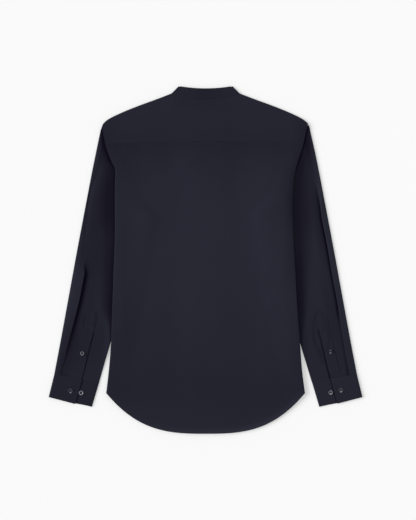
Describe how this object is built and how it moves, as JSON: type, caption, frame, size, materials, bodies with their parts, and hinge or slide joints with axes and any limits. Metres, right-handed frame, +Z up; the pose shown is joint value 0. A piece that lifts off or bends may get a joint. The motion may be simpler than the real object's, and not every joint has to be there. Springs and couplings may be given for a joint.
{
  "type": "mandarin collar shirt",
  "caption": "Long-sleeved shirt with a mandarin collar band, buttoned and laid flat on its front, back up, sleeves down beside the body.",
  "frame": {"origin": "on the surface the shirt lies on, below the middle of its outline seen from above", "axes": "+X towards the wearer's right sleeve as seen from above, +Y from the hem to the collar, +Z up through the back"},
  "size_m": [0.721, 0.798, 0.0093],
  "materials": {
    "cotton": "matt plain-woven cotton, dark navy",
    "button": "polished polyester resin, dark navy"
  },
  "bodies": {
    "root": {"back_panel": "cotton", "yoke": "cotton", "left_front": "cotton", "right_front": "cotton", "front_placket": "cotton", "collar_band": "cotton", "left_sleeve": "cotton", "right_sleeve": "cotton", "left_cuff": "cotton", "right_cuff": "cotton", "left_gauntlet": "cotton", "right_gauntlet": "cotton", "front_button_1": "button", "front_button_2": "button", "front_button_3": "button", "front_button_4": "button", "front_button_5": "button", "front_button_6": "button", "front_button_7": "button", "collar_button": "button", "left_cuff_button_1": "button", "left_cuff_button_2": "button", "right_cuff_button_1": "button", "right_cuff_button_2": "button", "left_gauntlet_button": "button", "right_gauntlet_button": "button"}
  },
  "joints": []
}
